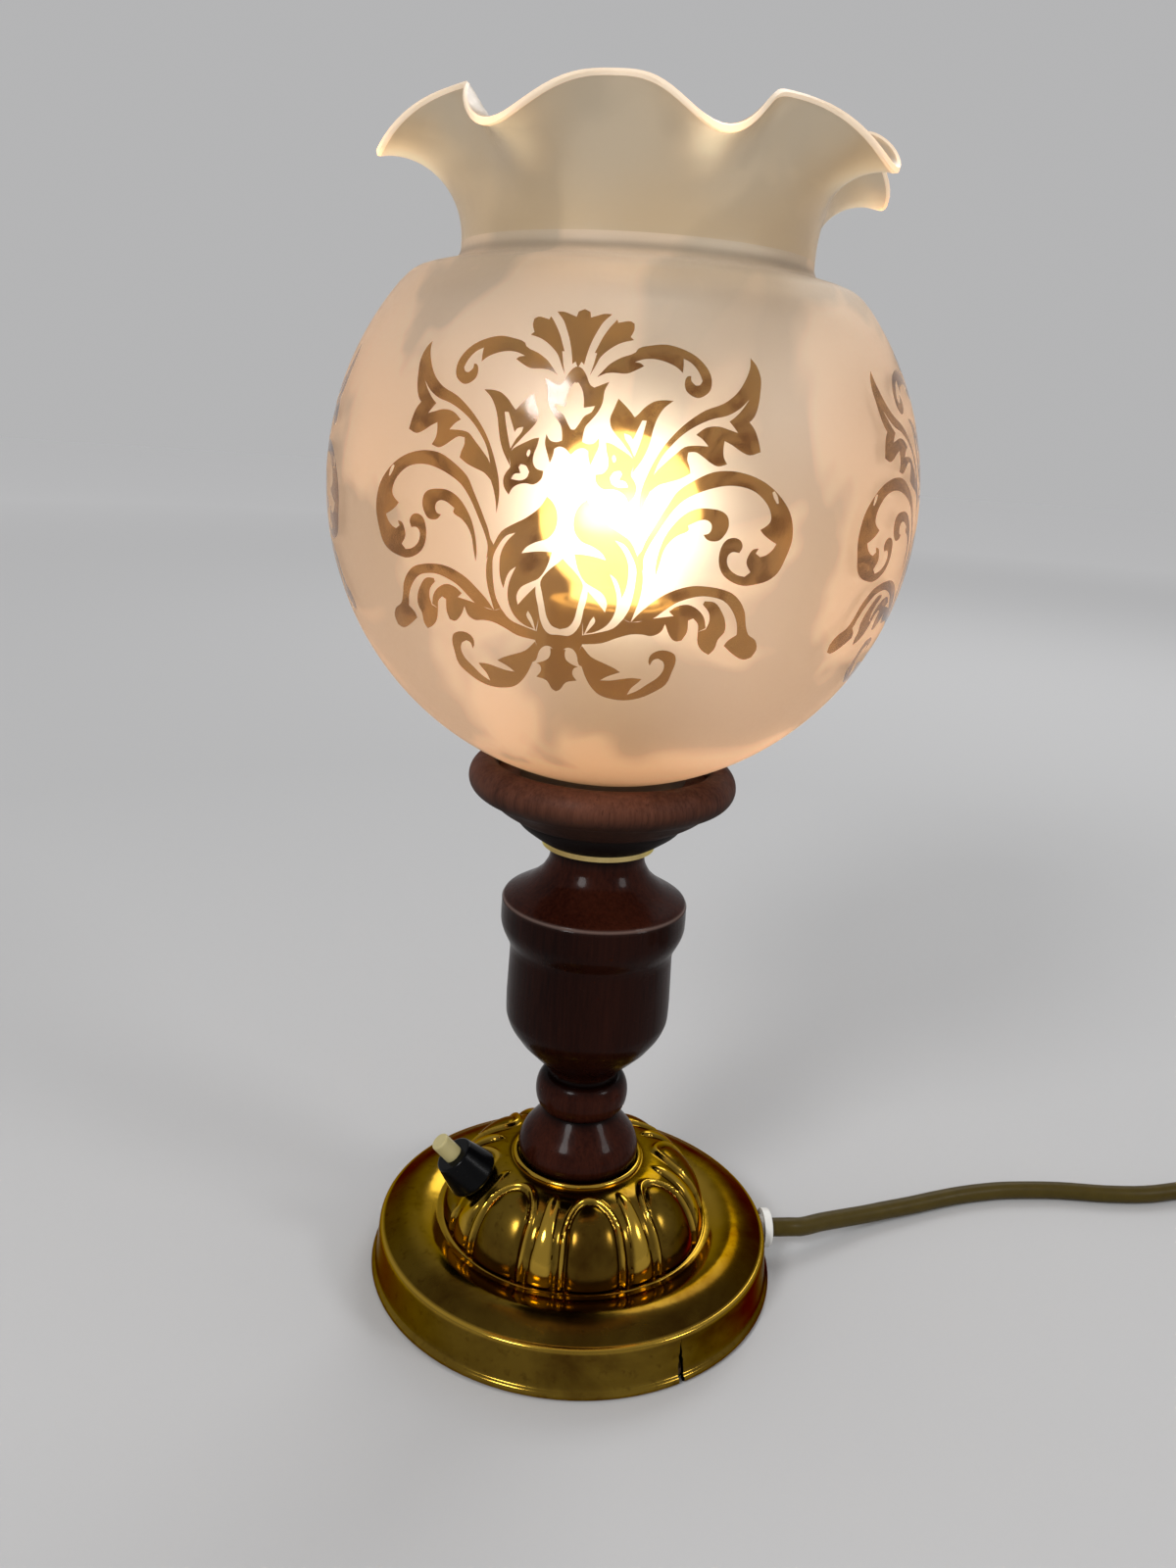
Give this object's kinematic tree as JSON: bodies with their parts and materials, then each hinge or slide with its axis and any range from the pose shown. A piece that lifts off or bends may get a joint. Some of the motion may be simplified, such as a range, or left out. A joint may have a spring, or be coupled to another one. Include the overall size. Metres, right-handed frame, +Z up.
{
  "type": "table lamp",
  "caption": "Table lamp with a fluted brass foot, turned dark wooden stem and cup, frosted glass globe with a ruffled rim, push-button switch in the foot and a flex with plug.",
  "frame": {"origin": "on the table, under the middle of the foot", "axes": "+Z up along the stem, -Y towards the viewer, +X to the picture's right, where the flex leaves the foot"},
  "size_m": [0.4252, 0.1882, 0.3382],
  "materials": {
    "brass_foot": "aged, dark gold, polished at the dome and rim",
    "brass_bright": "plain",
    "cast_iron": "as cast",
    "board": "pressed fibre board",
    "felt": "felt",
    "mahogany": "dark mahogany stain, gloss to satin",
    "mahogany_matt": "dark mahogany stain, matt",
    "steel": "zinc plated",
    "bakelite": "moulded",
    "porcelain": "glazed",
    "black_plastic": "moulded, gloss",
    "cream_plastic": "moulded",
    "white_plastic": "moulded",
    "flex": "round sheath, olive gold",
    "core_brown": "insulated core",
    "core_blue": "insulated core",
    "core_black": "insulated core",
    "tie_black": "woven strap",
    "plug_plastic": "moulded, olive gold",
    "bulb_glass": "clear",
    "aluminium_cap": "bright",
    "black_glass": "black glass insulator",
    "filament": "wire",
    "frosted_glass": "acid-frosted outside with a clear scroll ornament"
  },
  "bodies": {
    "lamp": {"base_shell": "brass_foot", "base_weight": "cast_iron", "bottom_board": "board", "felt_pad": "felt", "stem": "mahogany", "neck_washer": "brass_bright", "gallery_cup": "mahogany_matt", "tie_tube": "steel", "tube_nuts": "steel", "clamp_washers": "steel", "holder_cap": "bakelite", "holder_shell": "bakelite", "holder_core": "porcelain", "holder_thread": "brass_bright", "holder_contact": "brass_bright", "switch_body": "black_plastic", "switch_nut": "black_plastic", "switch_spring": "steel", "switch_terminals": "brass_bright", "cord_grommet": "white_plastic", "cord_inner": "flex", "cord_clamp": "black_plastic", "wire_live": "core_brown", "wire_neutral": "core_blue", "wire_switched": "core_black", "cord_lead": "flex", "cord_coil": "flex", "coil_tie": "tie_black", "plug_body": "plug_plastic", "plug_pins": "steel"},
    "button": {"switch_plunger": "cream_plastic"},
    "shade": {"glass_shade": "frosted_glass", "glass_crown": "frosted_glass", "glass_ruffle": "frosted_glass"},
    "bulb": {"bulb_glass": "bulb_glass", "bulb_cap": "aluminium_cap", "bulb_insulator": "black_glass", "bulb_tip": "aluminium_cap", "bulb_mount": "bulb_glass", "bulb_filament": "filament"}
  },
  "joints": [
    {"name": "switch_press", "type": "slide", "parent": "lamp", "child": "button", "axis": [0.6078, 0.2093, -0.766], "range_m": [0, 0.003], "stiffness_N_per_m": 600, "springref_m": -0.005, "deforming": ["switch_spring"]},
    {"name": "shade_lift", "type": "slide", "parent": "lamp", "child": "shade", "axis": [0, 0, 1], "range_m": [0, 0.11]},
    {"name": "bulb_out", "type": "slide", "parent": "lamp", "child": "bulb", "axis": [0, 0, 1], "range_m": [0, 0.03]}
  ]
}
